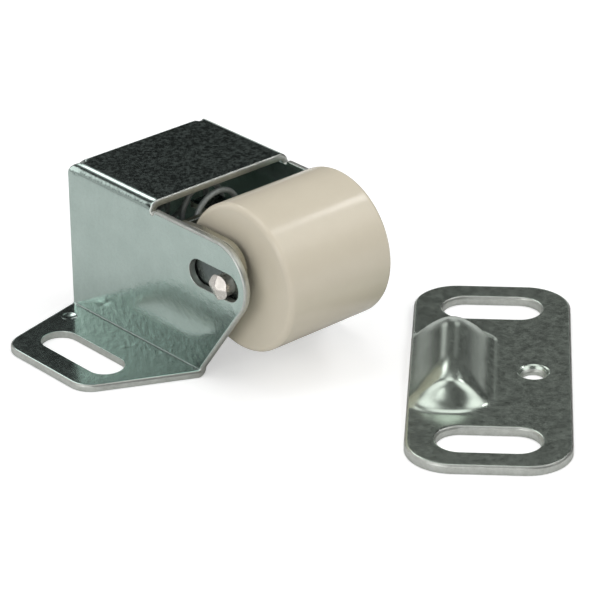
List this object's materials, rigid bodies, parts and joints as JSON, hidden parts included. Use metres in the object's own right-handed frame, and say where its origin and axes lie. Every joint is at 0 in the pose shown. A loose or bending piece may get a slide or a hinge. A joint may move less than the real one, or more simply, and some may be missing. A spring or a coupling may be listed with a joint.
{
  "type": "roller catch",
  "caption": "Cabinet roller catch: a sprung plastic roller in a folded zinc-plated bracket with slotted screw flanges, and its stamped strike plate with a hipped ridge.",
  "frame": {"origin": "on the mounting plane, midway between the bracket's two screw slots", "axes": "X along the roller's axle, -Y towards the roller, +Z away from the mounting plane"},
  "size_m": [0.064, 0.0751, 0.0248],
  "materials": {
    "zinc_plate": "bright zinc plate on folded sheet steel",
    "yoke_zinc": "bright zinc plate on folded sheet steel",
    "pin_steel": "bright drawn steel with pinched ends",
    "roller_plastic": "moulded beige plastic, semi-gloss",
    "spring_wire": "drawn spring wire",
    "strike_zinc": "zinc plate on stamped sheet steel, slightly satin"
  },
  "bodies": {
    "catch": {"bracket": "zinc_plate", "spring": "spring_wire", "strike_plate": "strike_zinc"},
    "carriage": {"yoke": "yoke_zinc", "axle_pin": "pin_steel"},
    "roller": {"roller": "roller_plastic"}
  },
  "joints": [
    {"name": "carriage_slide", "type": "slide", "parent": "catch", "child": "carriage", "axis": [0, 1, 0], "range_m": [-0.0014, 0.004], "stiffness_N_per_m": 2500, "deforming": ["spring"]},
    {"name": "roller_spin", "type": "hinge", "parent": "carriage", "child": "roller", "pos_m": [0, -0.0187, 0.01477], "axis": [1, 0, 0], "continuous": true}
  ]
}
